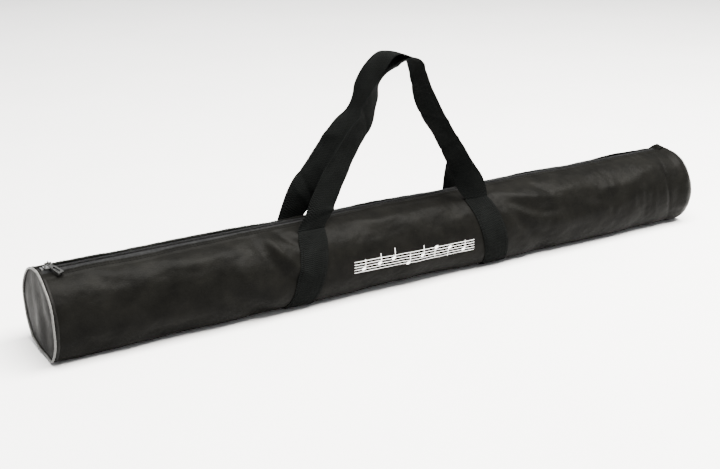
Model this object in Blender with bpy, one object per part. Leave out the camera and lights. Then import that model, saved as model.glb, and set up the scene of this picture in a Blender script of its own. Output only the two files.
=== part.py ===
"""Zipped carrying bag for a folded stand: a long round bag with two webbing handles.

The bag lies along X on the plane z = 0, with the left end at -X and the front at -Y.
Its cross-section is a circle flattened underneath. Angles round the bag are measured
in degrees from the front (-Y) side line, upwards: 90 is the top and 180 the rear.
"""

from math import acos, asin, cos, degrees, pi, radians, sin

import bmesh
import bpy
from mathutils import Matrix, Vector

# Driving dimensions, in metres and degrees.
BAG_LENGTH = 0.980
RADIUS = 0.0575
AXIS_HEIGHT = 0.046
PANEL_THICKNESS = 0.0025
GAP = 0.0003

WEBBING_WIDTH = 0.038
WEBBING_THICKNESS = 0.0020
STRAP_TOP_ANGLE = 60.0
HANDLE_FOOT_ANGLE = 61.0
HANDLE_FOOT_RADIUS = RADIUS + 0.0036

FLAP_HALF_LENGTH = 0.440
FLAP_HINGE_RADIUS = RADIUS + 0.0026
FLAP_EDGE_GAP = 0.0002

PIPING_RADIUS = 0.0020
PIPING_CENTRE_RADIUS = RADIUS - 0.0009
PIPING_FLOOR = 0.0023
DISC_THICKNESS = 0.0025

# The zip runs in a straight line, slightly across the bag, on a low ridge.
ZIP_END_X = 0.480
ZIP_Y_LEFT = -0.005
ZIP_Y_RIGHT = 0.010
ZIP_Z_LEFT = AXIS_HEIGHT + 0.0573
ZIP_Z_RIGHT = AXIS_HEIGHT + 0.0590
ZIP_ROLL = 2.5
ZIP_HALF_WIDTH = 0.0090
COIL_INNER = 0.0006
COIL_OUTER = 0.0029
COIL_HALF_HEIGHT = 0.0009
TAPE_HALF_THICKNESS = 0.0004
TAPE_EDGE_GAP = 0.0006
ZIP_CLOSED_END = 0.4829

SLIDER_X = -0.4765
SLIDER_HALF_LENGTH = 0.0060
ARCH_CENTRE_HEIGHT = 0.0066
RING_RADIUS = 0.0024
RING_WIRE = 0.00045
RING_OFFSET = 0.0010
PULL_SLOPE = 20.0
PULL_YAW = 23.0
PULL_LENGTH = 0.0210
PULL_HALF_WIDTH = 0.0040
PULL_HALF_THICKNESS = 0.0006
PULL_EYE_RADIUS = 0.0022
PULL_HOLE_RADIUS = 0.0012

HALF_LENGTH = BAG_LENGTH / 2
PANEL_FLOOR = WEBBING_THICKNESS + GAP
PANEL_HALF_LENGTH = HALF_LENGTH - 0.0045
PIPING_X = HALF_LENGTH - 0.0022


# Scene and materials

def clear_scene():
    for item in list(bpy.data.objects):
        bpy.data.objects.remove(item, do_unlink=True)


def material(name, colour, roughness, metallic=0.0):
    made = bpy.data.materials.new(name)
    made.use_nodes = True
    shader = made.node_tree.nodes["Principled BSDF"]
    shader.inputs["Base Color"].default_value = (*colour, 1.0)
    shader.inputs["Roughness"].default_value = roughness
    shader.inputs["Metallic"].default_value = metallic
    return made


def make_materials():
    return {
        "nylon": material("nylon", (0.040, 0.040, 0.038), 0.62),
        "disc_nylon": material("disc_nylon", (0.110, 0.105, 0.100), 0.60),
        "webbing": material("webbing", (0.018, 0.020, 0.019), 0.85),
        "piping": material("piping", (0.420, 0.420, 0.410), 0.45),
        "binding": material("binding", (0.030, 0.030, 0.030), 0.85),
        "zip_tape": material("zip_tape", (0.016, 0.016, 0.017), 0.85),
        "zip_coil": material("zip_coil", (0.024, 0.024, 0.026), 0.40),
        "metal": material("metal", (0.620, 0.620, 0.610), 0.28, 1.0),
    }


def finish_object(name, mesh_builder, skin, parent=None):
    """Store a built mesh as a named object, with its origin on its parent if it has one."""
    origin = parent.matrix_world.translation.copy() if parent else Vector()
    bmesh.ops.recalc_face_normals(mesh_builder, faces=mesh_builder.faces)
    bmesh.ops.translate(mesh_builder, verts=mesh_builder.verts, vec=-origin)
    mesh = bpy.data.meshes.new(name)
    mesh_builder.to_mesh(mesh)
    mesh_builder.free()
    mesh.materials.append(skin)
    mesh.shade_smooth()
    mesh.set_sharp_from_angle(angle=radians(35.0))
    made = bpy.data.objects.new(name, mesh)
    bpy.context.scene.collection.objects.link(made)
    made.parent = parent
    made.matrix_world = Matrix.Translation(origin)
    return made


def pivot(name, location, parent=None):
    """An empty on a joint's axis, which its moving pieces hang from."""
    made = bpy.data.objects.new(name, None)
    bpy.context.scene.collection.objects.link(made)
    made.parent = parent
    bpy.context.view_layer.update()
    made.matrix_world = Matrix.Translation(Vector(location))
    bpy.context.view_layer.update()
    return made


# The cross-section and the zip's line

def section_point(angle, radius):
    """(y, z) on a circle round the bag's axis."""
    turn = radians(angle)
    return Vector((-radius * cos(turn), AXIS_HEIGHT + radius * sin(turn)))


def floor_angle(radius, floor):
    """Angle, below the front side line, at which the circle meets a flat floor."""
    return degrees(asin((floor - AXIS_HEIGHT) / radius))


def wrap_path(start, end, radius, floor, steps):
    """(y, z) points from `start` at the front, under the bag and up to `end` at the rear."""
    corner = floor_angle(radius, floor)
    front = [section_point(start + (corner - start) * k / steps, radius)
             for k in range(steps + 1)]
    rear_end = end - 360.0
    rear_start = -180.0 - corner
    rear = [section_point(rear_start + (rear_end - rear_start) * k / steps, radius)
            for k in range(steps + 1)]
    return front + rear


def closed_outline(radius, floor, steps):
    """The whole flattened circle as (y, z) points, from one floor corner to the other."""
    corner = floor_angle(radius, floor)
    sweep = 180.0 - 2.0 * corner
    return [section_point(corner + sweep * k / steps, radius) for k in range(steps + 1)]


def zip_share(x):
    return (x + ZIP_END_X) / (2.0 * ZIP_END_X)


def zip_point(x):
    share = zip_share(x)
    return Vector((x,
                   ZIP_Y_LEFT + (ZIP_Y_RIGHT - ZIP_Y_LEFT) * share,
                   ZIP_Z_LEFT + (ZIP_Z_RIGHT - ZIP_Z_LEFT) * share))


def zip_axes():
    """Unit vectors along the zip, across it (towards the rear) and out of the bag."""
    along = (zip_point(ZIP_END_X) - zip_point(-ZIP_END_X)).normalized()
    lean = Vector((0.0, sin(radians(ZIP_ROLL)), cos(radians(ZIP_ROLL))))
    out = (lean - along * lean.dot(along)).normalized()
    return along, out.cross(along), out


def zip_edge_angle(x, side):
    """Angle of the fabric's edge beside the zip: side is -1 at the front, 1 at the rear."""
    y = zip_point(x).y + side * (ZIP_HALF_WIDTH + GAP)
    return degrees(acos(-y / RADIUS))


# Building solids

def loft(sections, closed=False, paired=False):
    """Join rings of points into one skin, capped at both ends unless it closes on itself.

    A paired ring runs out along one side of a thin sheet and back along the other, so its
    caps are made as a strip of faces across the sheet.
    """
    built = bmesh.new()
    rings = [[built.verts.new(point) for point in ring] for ring in sections]
    count = len(rings[0])
    pairs = list(zip(rings, rings[1:]))
    if closed:
        pairs.append((rings[-1], rings[0]))
    for first, second in pairs:
        for k in range(count):
            after = (k + 1) % count
            built.faces.new((first[k], first[after], second[after], second[k]))
    for ring in () if closed else (rings[0], rings[-1]):
        if paired:
            for k in range(count // 2 - 1):
                built.faces.new((ring[k], ring[k + 1], ring[-k - 2], ring[-k - 1]))
        else:
            built.faces.new(ring)
    bmesh.ops.triangulate(built, faces=[f for f in built.faces if len(f.verts) > 4])
    return built


def spread(first, last, steps):
    return [first + (last - first) * k / steps for k in range(steps + 1)]


def prism_x(outline, x_from, x_to):
    return loft([[(x, y, z) for y, z in outline] for x in (x_from, x_to)])


def cutter_box(name, low, high):
    """A hidden box used only to cut another object."""
    built = bmesh.new()
    bmesh.ops.create_cube(built, size=1.0)
    low, high = Vector(low), Vector(high)
    bmesh.ops.scale(built, verts=built.verts, vec=high - low)
    bmesh.ops.translate(built, verts=built.verts, vec=(low + high) / 2)
    return hidden_tool(name, built)


def hidden_tool(name, built):
    bmesh.ops.recalc_face_normals(built, faces=built.faces)
    mesh = bpy.data.meshes.new(name)
    built.to_mesh(mesh)
    built.free()
    made = bpy.data.objects.new(name, mesh)
    bpy.context.scene.collection.objects.link(made)
    made.hide_render = True
    made.display_type = "WIRE"
    return made


def add_boolean(target, tool, operation):
    step = target.modifiers.new(tool.name, "BOOLEAN")
    step.operation = operation
    step.solver = "EXACT"
    step.object = tool


# Fabric panels

def build_body_panel(skin):
    """The trough that lies on the floor, with a full collar at each end of the bag."""
    sections = []
    for x in spread(-PANEL_HALF_LENGTH, PANEL_HALF_LENGTH, 8):
        start, end = zip_edge_angle(x, -1), zip_edge_angle(x, 1)
        outer = wrap_path(start, end, RADIUS, PANEL_FLOOR, 20)
        inner = wrap_path(start, end, RADIUS - PANEL_THICKNESS,
                          PANEL_FLOOR + PANEL_THICKNESS, 20)
        sections.append([(x, y, z) for y, z in outer + inner[::-1]])
    panel = finish_object("body_panel", loft(sections, paired=True), skin)
    window = cutter_box("flap_window",
                        (-FLAP_HALF_LENGTH, -2 * RADIUS, AXIS_HEIGHT - FLAP_EDGE_GAP),
                        (FLAP_HALF_LENGTH, 2 * RADIUS, AXIS_HEIGHT + 2 * RADIUS))
    add_boolean(panel, window, "DIFFERENCE")


def build_flap_panel(name, side, skin, parent):
    """One upper flank, from its side line up to the fabric edge beside the zip."""
    side_angle = 0.0 if side < 0 else 180.0
    lift = degrees(FLAP_EDGE_GAP / RADIUS) * -side
    half = FLAP_HALF_LENGTH - GAP
    sections = []
    for x in spread(-half, half, 8):
        turns = spread(side_angle + lift, zip_edge_angle(x, side), 14)
        outer = [section_point(turn, RADIUS) for turn in turns]
        inner = [section_point(turn, RADIUS - PANEL_THICKNESS) for turn in turns]
        sections.append([(x, y, z) for y, z in outer + inner[::-1]])
    finish_object(name, loft(sections, paired=True), skin, parent)


def build_end_disc(name, side, skin):
    """The round end panel, inside its ring of piping."""
    outline = closed_outline(PIPING_CENTRE_RADIUS - PIPING_RADIUS - GAP,
                             PIPING_FLOOR + PIPING_RADIUS + GAP, 44)
    disc = prism_x(outline, side * HALF_LENGTH, side * (HALF_LENGTH - DISC_THICKNESS))
    finish_object(name, disc, skin)


def build_piping(name, side, skin):
    """A round cord in its cover, sewn into the seam round the end disc."""
    path = closed_outline(PIPING_CENTRE_RADIUS, PIPING_FLOOR, 52)
    middle = Vector((0.0, AXIS_HEIGHT))
    rings = []
    for index, point in enumerate(path):
        before, after = path[index - 1], path[(index + 1) % len(path)]
        run = (after - before).normalized()
        outward = Vector((-run.y, run.x))
        if outward.dot(point - middle) < 0.0:
            outward = -outward
        ring = []
        for k in range(8):
            turn = 2.0 * pi * k / 8
            step = outward * (PIPING_RADIUS * cos(turn))
            x = side * PIPING_X + PIPING_RADIUS * sin(turn)
            ring.append((x, point.x + step.x, max(point.y + step.y, GAP)))
        rings.append(ring)
    finish_object(name, loft(rings, closed=True), skin)


def build_seam_binding(name, side, skin):
    """The tape inside the bag that covers the raw edges of the end seam."""
    width, thickness = 0.012, 0.0012
    outer_radius = RADIUS - PANEL_THICKNESS - 0.0008
    outer_floor = PANEL_FLOOR + PANEL_THICKNESS + GAP
    outer = closed_outline(outer_radius, outer_floor, 44)
    inner = closed_outline(outer_radius - thickness, outer_floor + thickness, 44)
    x_outer = side * (HALF_LENGTH - DISC_THICKNESS - 0.0007)
    x_inner = x_outer - side * width
    rings = []
    for out_point, in_point in zip(outer, inner):
        rings.append([(x_outer, *out_point), (x_inner, *out_point),
                      (x_inner, *in_point), (x_outer, *in_point)])
    finish_object(name, loft(rings, closed=True), skin)


# Sewn webbing

def strap_x(top_x, low_x, angle):
    """The straps spread outwards as they go down the flank."""
    lowest = floor_angle(RADIUS, PANEL_FLOOR)
    height = min(max(angle, lowest), STRAP_TOP_ANGLE)
    return low_x + (top_x - low_x) * (height - lowest) / (STRAP_TOP_ANGLE - lowest)


def strap_section(x, inner, outer):
    half = WEBBING_WIDTH / 2
    return [(x - half, *inner), (x + half, *inner), (x + half, *outer), (x - half, *outer)]


def build_belly_strap(name, low_x, front_side_x, rear_side_x, skin):
    """Webbing from one side line, under the bag, to the other side line."""
    inner_radius, outer_radius = RADIUS + GAP, RADIUS + GAP + WEBBING_THICKNESS
    steps = 10
    start = -degrees(FLAP_EDGE_GAP / RADIUS)
    inner = wrap_path(start, 180.0 - start, inner_radius, WEBBING_THICKNESS, steps)
    outer = wrap_path(start, 180.0 - start, outer_radius, 0.0, steps)
    sections = []
    for index, (in_point, out_point) in enumerate(zip(inner, outer)):
        if index <= steps:
            x = front_side_x + (low_x - front_side_x) * index / steps
        else:
            x = low_x + (rear_side_x - low_x) * (index - steps - 1) / steps
        sections.append(strap_section(x, in_point, out_point))
    finish_object(name, loft(sections), skin)


def build_flap_strap(name, side, top_x, low_x, skin, parent):
    """Webbing sewn to a flap, from the side line up to the foot of the handle."""
    start = degrees(FLAP_EDGE_GAP / RADIUS)
    sections = []
    for height in spread(start, STRAP_TOP_ANGLE, 9):
        angle = height if side < 0 else 180.0 - height
        inner = section_point(angle, RADIUS + GAP)
        outer = section_point(angle, RADIUS + GAP + WEBBING_THICKNESS)
        sections.append(strap_section(strap_x(top_x, low_x, height), inner, outer))
    finish_object(name, loft(sections), skin, parent)


# Handles

def curve_through(points, steps):
    """Points on a smooth Catmull-Rom curve through the given points."""
    padded = [points[0] * 2 - points[1], *points, points[-1] * 2 - points[-2]]
    result = []
    for index in range(1, len(padded) - 2):
        p0, p1, p2, p3 = padded[index - 1:index + 3]
        for k in range(steps):
            t = k / steps
            result.append(0.5 * (2 * p1 + (p2 - p0) * t
                                 + (2 * p0 - 5 * p1 + 4 * p2 - p3) * t ** 2
                                 + (3 * p1 - p0 - 3 * p2 + p3) * t ** 3))
    result.append(points[-1])
    return result


def handle_foot(side):
    y, z = section_point(HANDLE_FOOT_ANGLE, HANDLE_FOOT_RADIUS)
    return Vector((0.0, y * -side, z))


def build_handle(name, side, route, apex_height, skin, parent):
    """An upright webbing loop. Each route point is (x, height above the foot, twist).

    With no twist the webbing faces the front, and at 90 degrees its edges face front and
    rear, as they do at the top of the loop. The loop leans in over the bag's middle.
    """
    foot = handle_foot(side)
    lean_end = side * 0.0010
    centres = []
    for x, height, twist in curve_through([Vector(point) for point in route], 4):
        share = height / apex_height
        y = foot.y + (lean_end - foot.y) * share
        centres.append((Vector((x, y, foot.z + GAP + height)), twist))
    sections = []
    last = len(centres) - 1
    for index, (centre, twist) in enumerate(centres):
        before = centres[max(index - 1, 0)][0]
        after = centres[min(index + 1, last)][0]
        run = (after - before).normalized()
        face = Vector((0.0, -1.0, 0.0))
        face = (face - run * face.dot(run)).normalized()
        across = run.cross(face)
        turn = radians(twist)
        wide = across * cos(turn) + face * sin(turn)
        thick = face * cos(turn) - across * sin(turn)
        if index in (0, last):
            wide = Vector((1.0 if index == 0 else -1.0, 0.0, 0.0))
            thick = Vector((0.0, -1.0, 0.0))
        wide = wide * (WEBBING_WIDTH / 2)
        thick = thick * (WEBBING_THICKNESS / 2)
        sections.append([centre - wide - thick, centre + wide - thick,
                         centre + wide + thick, centre - wide + thick])
    finish_object(name, loft(sections), skin, parent)


# Zip

def zip_frame_point(x, across, out):
    """A point beside the zip's line, by its distances across it and out of the bag."""
    _, sideways, outward = zip_axes()
    return zip_point(x) + sideways * across + outward * out


def tape_edge(x, side):
    """(across, out) of the tape's outer edge, which meets the middle of the fabric wall."""
    _, sideways, outward = zip_axes()
    angle = zip_edge_angle(x, side) - side * degrees(TAPE_EDGE_GAP / RADIUS)
    y, z = section_point(angle, RADIUS - PANEL_THICKNESS / 2)
    offset = Vector((x, y, z)) - zip_point(x)
    return offset.dot(sideways), offset.dot(outward)


def coil_section(x, side):
    corners = [(COIL_INNER, -1), (COIL_OUTER, -1), (COIL_OUTER, 1), (COIL_INNER, 1)]
    return [zip_frame_point(x, side * across, sign * COIL_HALF_HEIGHT)
            for across, sign in corners]


def tape_section(x, side, inner_across):
    across, out = tape_edge(x, side)
    half = TAPE_HALF_THICKNESS
    return [zip_frame_point(x, side * inner_across, -half),
            zip_frame_point(x, across, out - half),
            zip_frame_point(x, across, out + half),
            zip_frame_point(x, side * inner_across, half)]


def tape_and_coil_section(x, side):
    """Tape and coil in one outline, for the sewn-down ends of the zip."""
    tape = tape_section(x, side, COIL_OUTER)
    coil = coil_section(x, side)
    return [coil[0], coil[1], tape[1], tape[2], coil[2], coil[3]]


def build_zip_half(side, word, skins, parent):
    half = FLAP_HALF_LENGTH - GAP
    stations = spread(-half, half, 8)
    tape = [tape_section(x, side, COIL_OUTER + GAP) for x in stations]
    finish_object(f"{word}_zip_tape", loft(tape), skins["zip_tape"], parent)
    coil = [coil_section(x, side) for x in (-half, half)]
    finish_object(f"{word}_zip_coil", loft(coil), skins["zip_coil"], parent)


def build_zip_ends(side, word, skins):
    for name, x_from, x_to in (("left", -ZIP_CLOSED_END, -FLAP_HALF_LENGTH),
                               ("right", FLAP_HALF_LENGTH, ZIP_CLOSED_END)):
        sections = [tape_and_coil_section(x, side) for x in spread(x_from, x_to, 2)]
        finish_object(f"{word}_zip_end_{name}", loft(sections, paired=True),
                      skins["zip_tape"])


def zip_block(x_from, x_to, half_across, out_from, out_to):
    """A small block astride the zip's line."""
    return loft([[zip_frame_point(x, -half_across, out_from),
                  zip_frame_point(x, half_across, out_from),
                  zip_frame_point(x, half_across, out_to),
                  zip_frame_point(x, -half_across, out_to)] for x in (x_from, x_to)])


def build_zip_stops(skins):
    stop = zip_block(-0.4855, -ZIP_CLOSED_END - GAP, 0.0036, -0.0014, 0.0016)
    finish_object("zip_stop_left", stop, skins["metal"])
    tab = zip_block(0.4700, 0.4850, 0.0080, 0.0013, 0.0023)
    finish_object("zip_end_tab_right", tab, skins["webbing"])


# Slider and pull

def slider_matrix():
    """World placement of the slider: X along the zip, Y across it, Z out of the bag."""
    along, sideways, outward = zip_axes()
    turn = Matrix((along, sideways, outward)).transposed().to_4x4()
    return Matrix.Translation(zip_point(SLIDER_X)) @ turn


def extrude_outline(outline, low, high):
    """Extrude a flat outline from one height to another."""
    return loft([[(x, y, level) for x, y in outline] for level in (low, high)])


def build_slider(skins, parent):
    """Two plates joined by a divider at the open end, with an arch that holds the pull."""
    half = SLIDER_HALF_LENGTH
    top = [(-half, -0.0030), (-half + 0.0015, -0.0045), (0.0, -0.0045), (half, -0.0036),
           (half, 0.0036), (0.0, 0.0045), (-half + 0.0015, 0.0045), (-half, 0.0030)]
    bottom = [(-half, -0.0026), (half, -0.0034), (half, 0.0034), (-half, 0.0026)]
    arch_bar = [(-0.0042, -0.0005), (0.0042, -0.0005), (0.0042, 0.0005), (-0.0042, 0.0005)]
    place = slider_matrix()
    body = extrude_outline(top, 0.0013, 0.0024)
    bmesh.ops.transform(body, matrix=place, verts=body.verts)
    slider = finish_object("slider_body", body, skins["metal"], parent)
    tools = [("slider_arch_bar", arch_bar, ARCH_CENTRE_HEIGHT - 0.0005, ARCH_CENTRE_HEIGHT + 0.0005)]
    for side in (-1, 1):
        leg = [(side * 0.0030, -0.00045), (side * 0.0041, -0.00045),
               (side * 0.0041, 0.00045), (side * 0.0030, 0.00045)]
        flange = [(-0.0040, side * 0.0036), (0.0, side * 0.0036),
                  (0.0, side * 0.0044), (-0.0040, side * 0.0044)]
        tools.append((f"slider_leg_{side}", leg, 0.0020, ARCH_CENTRE_HEIGHT))
        tools.append((f"slider_flange_{side}", flange, 0.0009, 0.0016))
    divider = [(-0.0052, -0.0002), (-0.0034, -0.0003), (-0.0034, 0.0003), (-0.0052, 0.0002)]
    tools.append(("slider_divider", divider, -0.0017, 0.0016))
    tools.append(("slider_bottom", bottom, -0.0024, -0.0014))
    # The legs come first, so that each piece meets the one body made so far.
    for name, outline, low, high in sorted(tools, key=lambda tool: "leg" not in tool[0]):
        piece = extrude_outline(outline, low, high)
        bmesh.ops.transform(piece, matrix=place, verts=piece.verts)
        add_boolean(slider, hidden_tool(name, piece), "UNION")


def pull_axes():
    """Radial direction of the ring at rest, and the pull tab's plane normal."""
    _, sideways, outward = zip_axes()
    slope = radians(PULL_SLOPE)
    radial = -sideways * cos(slope) - outward * sin(slope)
    normal = outward * cos(slope) - sideways * sin(slope)
    return radial, normal


def arch_centre():
    return zip_frame_point(SLIDER_X, 0.0, ARCH_CENTRE_HEIGHT)


def build_pull_ring(skins, parent):
    """A closed wire ring through the slider's arch, which the tab hangs on."""
    along, _, _ = zip_axes()
    radial, normal = pull_axes()
    centre = arch_centre() + radial * RING_OFFSET
    rings = []
    for step in range(24):
        turn = 2.0 * pi * step / 24
        spoke = radial * cos(turn) + normal * sin(turn)
        ring = []
        for k in range(8):
            roll = 2.0 * pi * k / 8
            ring.append(centre + spoke * (RING_RADIUS + RING_WIRE * cos(roll))
                        + along * (RING_WIRE * sin(roll)))
        rings.append(ring)
    finish_object("pull_ring", loft(rings, closed=True), skins["metal"], parent)


def tab_eye():
    radial, _ = pull_axes()
    return arch_centre() + radial * (RING_OFFSET + RING_RADIUS)


def arc(centre, radius, start, end, steps):
    return [(centre[0] + radius * cos(radians(turn)), centre[1] + radius * sin(radians(turn)))
            for turn in spread(start, end, steps)]


def build_pull_tab(skins, parent):
    """A flat tab with a round eye, lying aslant down the front of the bag."""
    corner = 0.0016
    end_x = PULL_LENGTH - corner
    end_y = PULL_HALF_WIDTH - corner
    outline = (arc((0.0, 0.0), PULL_EYE_RADIUS, 60.0, 300.0, 12)
               + [(0.0050, -PULL_HALF_WIDTH + 0.0008)]
               + arc((end_x, -end_y), corner, -90.0, 0.0, 4)
               + arc((end_x, end_y), corner, 0.0, 90.0, 4)
               + [(0.0050, PULL_HALF_WIDTH - 0.0008)])
    along, _, _ = zip_axes()
    radial, normal = pull_axes()
    yaw = radians(PULL_YAW)
    run = radial * cos(yaw) + along * sin(yaw)
    across = normal.cross(run)
    place = (Matrix.Translation(tab_eye())
             @ Matrix((run, across, normal)).transposed().to_4x4())
    plate = extrude_outline(outline, -PULL_HALF_THICKNESS, PULL_HALF_THICKNESS)
    bmesh.ops.transform(plate, matrix=place, verts=plate.verts)
    tab = finish_object("pull_tab", plate, skins["metal"], parent)
    hole = extrude_outline(arc((0.0, 0.0), PULL_HOLE_RADIUS, 0.0, 337.5, 15),
                           -0.002, 0.002)
    slot_half = 0.0014
    slot = extrude_outline(arc((0.0165, 0.0), slot_half, -90.0, 90.0, 6)
                           + arc((0.0085, 0.0), slot_half, 90.0, 270.0, 6),
                           -0.002, 0.002)
    for name, cut in (("tab_hole", hole), ("tab_slot", slot)):
        bmesh.ops.transform(cut, matrix=place, verts=cut.verts)
        add_boolean(tab, hidden_tool(name, cut), "DIFFERENCE")


def build_all():
    clear_scene()
    skins = make_materials()

    build_body_panel(skins["nylon"])
    for name, side in (("left", -1), ("right", 1)):
        build_end_disc(f"end_disc_{name}", side, skins["disc_nylon"])
        build_piping(f"piping_{name}", side, skins["piping"])
        build_seam_binding(f"seam_binding_{name}", side, skins["binding"])

    # Where each strap's middle lies: at the floor, and at the top of each sewn part.
    straps = {"left": {"low": -0.1735, "front": -0.1400, "rear": -0.1470},
              "right": {"low": 0.1355, "front": 0.1065, "rear": 0.1120}}
    for name, place in straps.items():
        build_belly_strap(f"belly_strap_{name}", place["low"],
                          strap_x(place["front"], place["low"], 0.0),
                          strap_x(place["rear"], place["low"], 0.0), skins["webbing"])

    # Handle routes: (x, height above the foot, twist), from the left foot to the right.
    front_route = [(-0.1400, 0.000, 0), (-0.1335, 0.024, -2), (-0.1235, 0.041, -4),
                   (-0.1068, 0.067, -8), (-0.0830, 0.097, -20), (-0.0625, 0.118, -36),
                   (-0.0475, 0.143, -50), (-0.0360, 0.162, -66), (-0.0220, 0.179, -82),
                   (-0.0060, 0.190, -90), (0.0060, 0.191, -90), (0.0165, 0.185, -90),
                   (0.0220, 0.172, -88), (0.0265, 0.157, -80), (0.0350, 0.138, -70),
                   (0.0462, 0.114, -68), (0.0615, 0.090, -70), (0.0700, 0.075, -68),
                   (0.0782, 0.059, -62), (0.0875, 0.042, -54), (0.0960, 0.025, -34),
                   (0.1048, 0.009, -4), (0.1065, 0.000, 0)]
    rear_route = [(-0.1470, 0.000, 0), (-0.1340, 0.027, 18), (-0.1180, 0.052, 60),
                  (-0.0990, 0.084, 76), (-0.0805, 0.1115, 80), (-0.0640, 0.128, 86),
                  (-0.0555, 0.147, 90), (-0.0500, 0.162, 84), (-0.0420, 0.177, 76),
                  (-0.0330, 0.190, 80), (-0.0220, 0.200, 86), (-0.0100, 0.203, 90),
                  (0.0040, 0.201, 90), (0.0180, 0.195, 90), (0.0290, 0.181, 90),
                  (0.0390, 0.161, 84), (0.0524, 0.135, 76), (0.0693, 0.105, 66),
                  (0.0880, 0.077, 52), (0.1005, 0.0515, 34), (0.1090, 0.0235, 12),
                  (0.1120, 0.000, 0)]
    for word, side, route, apex in (("front", -1, front_route, 0.191),
                                    ("rear", 1, rear_route, 0.203)):
        hinge = pivot(f"{word}_flap_axis", (0.0, side * FLAP_HINGE_RADIUS, AXIS_HEIGHT))
        build_flap_panel(f"{word}_flap_panel", side, skins["nylon"], hinge)
        build_zip_half(side, word, skins, hinge)
        build_zip_ends(side, word, skins)
        for name, place in straps.items():
            build_flap_strap(f"{word}_strap_{name}", side, place[word], place["low"],
                             skins["webbing"], hinge)
        handle_axis = pivot(f"{word}_handle_axis", handle_foot(side), hinge)
        build_handle(f"{word}_handle_loop", side, route, apex, skins["webbing"], handle_axis)

    build_zip_stops(skins)
    slider_pivot = pivot("slider_place", zip_point(SLIDER_X))
    build_slider(skins, slider_pivot)
    ring_pivot = pivot("ring_axis", arch_centre(), slider_pivot)
    build_pull_ring(skins, ring_pivot)
    tab_pivot = pivot("tab_axis", tab_eye(), ring_pivot)
    build_pull_tab(skins, tab_pivot)


build_all()
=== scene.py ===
"""The looks of a zipped carrying bag: sagging nylon, ribbed webbing handles and a coil zip.

The bag lies along X. Angles round it are in degrees from the front (-Y) side line, upwards:
90 is the top, 180 the rear and -90 the middle of the underside.
"""

from math import cos, pi, radians, sin

import bpy
import numpy as np
from mathutils import Matrix, Vector


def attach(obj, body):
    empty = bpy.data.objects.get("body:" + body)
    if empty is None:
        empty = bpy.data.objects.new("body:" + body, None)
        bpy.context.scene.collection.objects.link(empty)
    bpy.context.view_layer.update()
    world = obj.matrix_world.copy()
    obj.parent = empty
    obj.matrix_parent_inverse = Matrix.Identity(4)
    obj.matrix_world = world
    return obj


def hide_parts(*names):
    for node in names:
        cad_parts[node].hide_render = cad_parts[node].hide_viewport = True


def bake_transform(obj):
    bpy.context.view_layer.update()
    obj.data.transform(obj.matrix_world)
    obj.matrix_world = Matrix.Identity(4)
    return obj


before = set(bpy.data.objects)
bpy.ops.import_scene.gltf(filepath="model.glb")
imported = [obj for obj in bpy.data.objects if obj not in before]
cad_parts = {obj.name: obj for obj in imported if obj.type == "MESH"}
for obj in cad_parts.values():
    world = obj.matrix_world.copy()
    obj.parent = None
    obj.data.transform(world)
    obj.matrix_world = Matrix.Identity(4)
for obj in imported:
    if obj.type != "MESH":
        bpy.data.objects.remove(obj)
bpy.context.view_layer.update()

# Sizes that the CAD has too, in metres and degrees.
RADIUS = 0.0575
AXIS_HEIGHT = 0.046
HALF_LENGTH = 0.490
WEBBING_WIDTH = 0.038
FOOT_RADIUS = 0.0611
FOOT_ANGLE = 61.0
STRAP_TOP_ANGLE = 60.0
ZIP_END_X = 0.480

# The finer cloth model. It reaches a little past the CAD's ends, most at the right.
SKIN_LEFT = -0.4890
SKIN_RIGHT = 0.5025
CLOTH_THICKNESS = 0.0011
WEBBING_THICKNESS = 0.0016
DISC_X = {"left": 0.4900, "right": 0.5034}
RIM_RADIUS = {"left": 0.0562, "right": 0.0520}
DISC_THICKNESS = 0.0010
PIPING_RADIUS = 0.0013
BINDING_THICKNESS = 0.0011
BINDING_X = (0.4722, 0.4842)
HEM_STITCHES = (0.0022, 0.0062)
SELVEDGE_THINNING = 0.45

TAPE_X = (-0.4885, 0.4995)
TAPE_THICKNESS = 0.0008
COIL_START = -0.482
COIL_RUN = 0.976
COIL_PITCH = 0.0018
COIL_THREAD = 0.00042
TAB_START = 0.4800
TAB_LENGTH = 0.0215

# How far the fabric would follow a flap, as follow_flap works it out without applying it: none
# below the first angle, all above the second.
# Towards the ends of the bag its share falls from all at the first x to none at the second.
BEND_START = -42.0
BEND_END = 34.0
TAPER_START = 0.385
TAPER_END = 0.478


# Smooth random fields

class Waves:
    """A repeatable smooth random field over (x, s): a sum of sine waves of mixed headings."""

    def __init__(self, seed, count, short, long, stretch=1.0):
        rng = np.random.default_rng(seed)
        length = np.exp(rng.uniform(np.log(short), np.log(long), count))
        heading = rng.uniform(0.0, 2.0 * pi, count)
        self.kx = 2.0 * pi / length * np.cos(heading)
        self.ks = 2.0 * pi / length * np.sin(heading) * stretch
        self.phase = rng.uniform(0.0, 2.0 * pi, count)
        self.size = (length / long) ** 0.7
        self.size /= np.sqrt((self.size ** 2).sum() / 2.0)

    def __call__(self, x, s):
        total = np.zeros(np.broadcast(x, s).shape)
        for kx, ks, phase, size in zip(self.kx, self.ks, self.phase, self.size):
            total = total + size * np.sin(kx * x + ks * s + phase)
        return total


def smoothstep(value, low, high):
    t = np.clip((value - low) / (high - low), 0.0, 1.0)
    return t * t * (3.0 - 2.0 * t)


# The zip's line, and the fabric's edges beside it

def zip_share(x):
    return (x + ZIP_END_X) / (2.0 * ZIP_END_X)


def zip_y(x):
    return -0.005 + 0.015 * zip_share(x)


def zip_angle(x):
    return np.degrees(np.arccos(-zip_y(x) / RADIUS))


def zip_z(x):
    return AXIS_HEIGHT + 0.0573 + 0.0017 * zip_share(x)


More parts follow.
